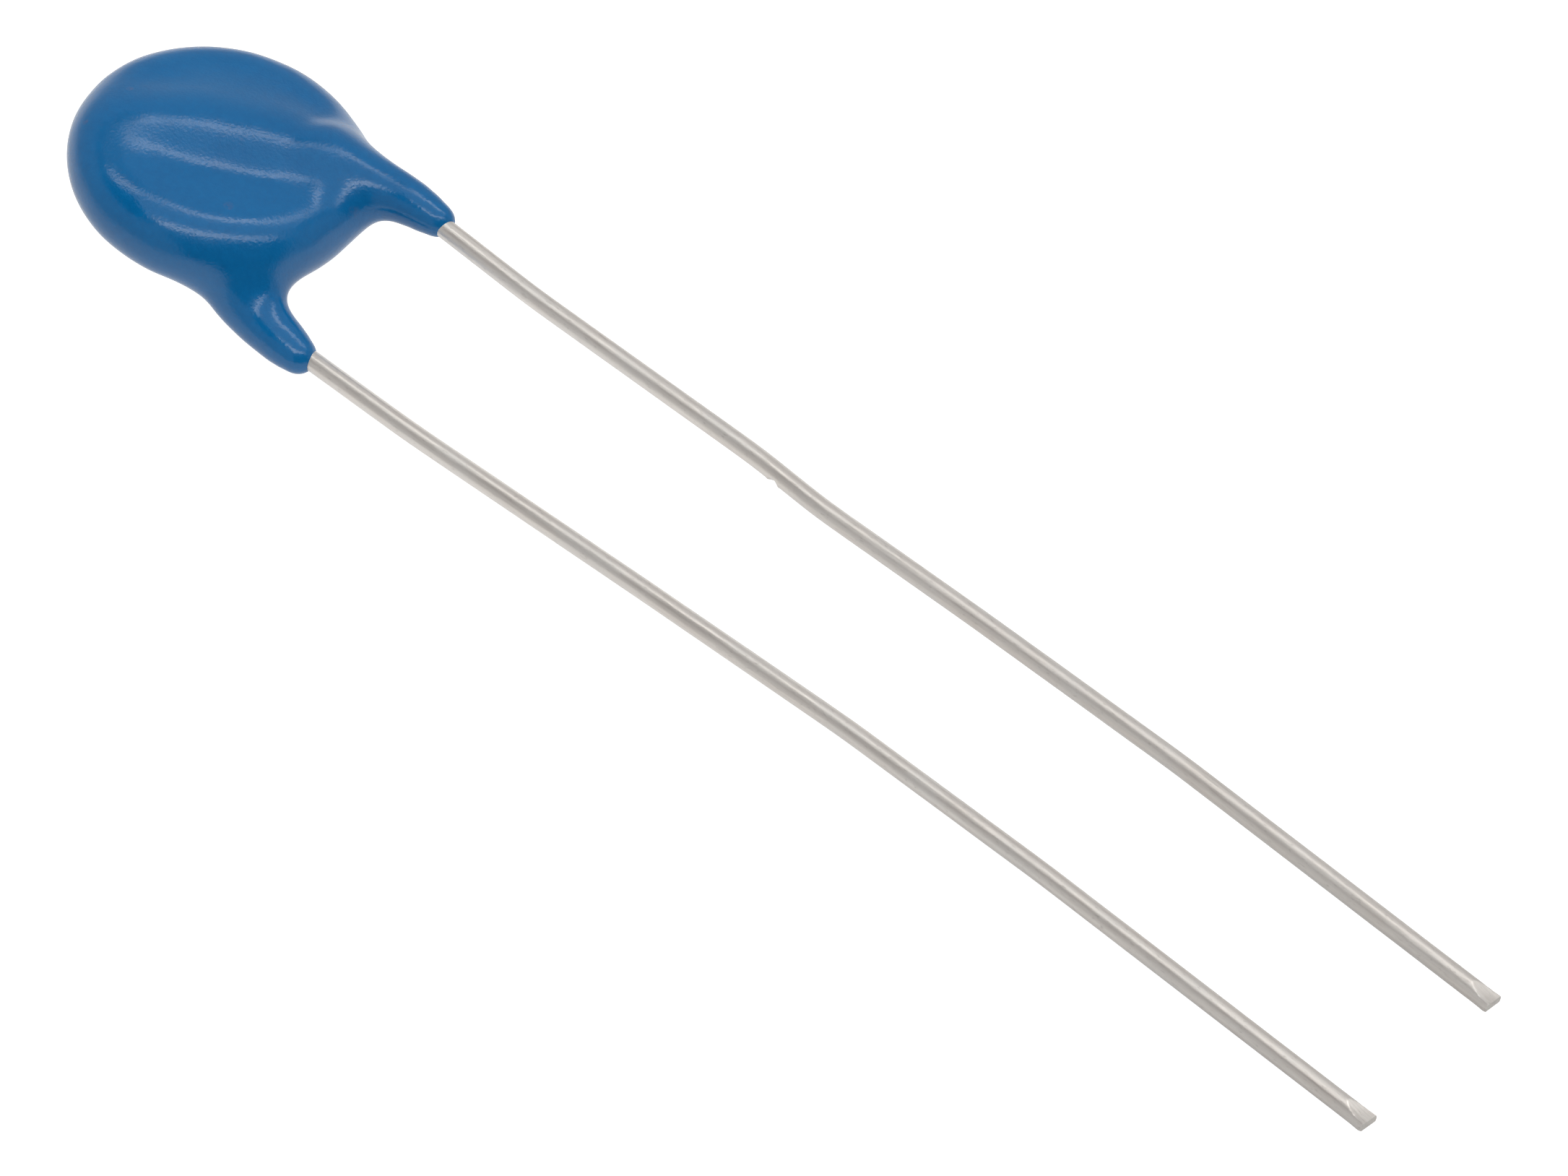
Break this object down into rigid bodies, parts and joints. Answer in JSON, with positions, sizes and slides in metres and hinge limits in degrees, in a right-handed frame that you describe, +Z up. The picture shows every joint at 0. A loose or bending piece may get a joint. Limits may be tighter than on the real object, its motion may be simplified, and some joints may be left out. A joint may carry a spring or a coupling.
{
  "type": "disc varistor",
  "caption": "Round disc varistor dipped in glossy blue epoxy, with stiff tinned wire leads that run out side by side from legs on its rim.",
  "frame": {"origin": "middle of the part's box, on the surface that it lies on", "axes": "+X from the disc towards the lead tips, +Y across the leads towards the front face's lead, +Z up, away from the surface that it lies on"},
  "size_m": [0.0506, 0.0088, 0.0042],
  "materials": {
    "epoxy": "gloss",
    "zinc_oxide": "matte",
    "silver": "satin",
    "solder": "satin",
    "tinned_wire": "satin"
  },
  "bodies": {
    "root": {"epoxy_coating": "epoxy", "ceramic_disc": "zinc_oxide", "front_electrode": "silver", "rear_electrode": "silver", "front_solder": "solder", "rear_solder": "solder", "front_lead": "tinned_wire", "rear_lead": "tinned_wire"}
  },
  "joints": []
}
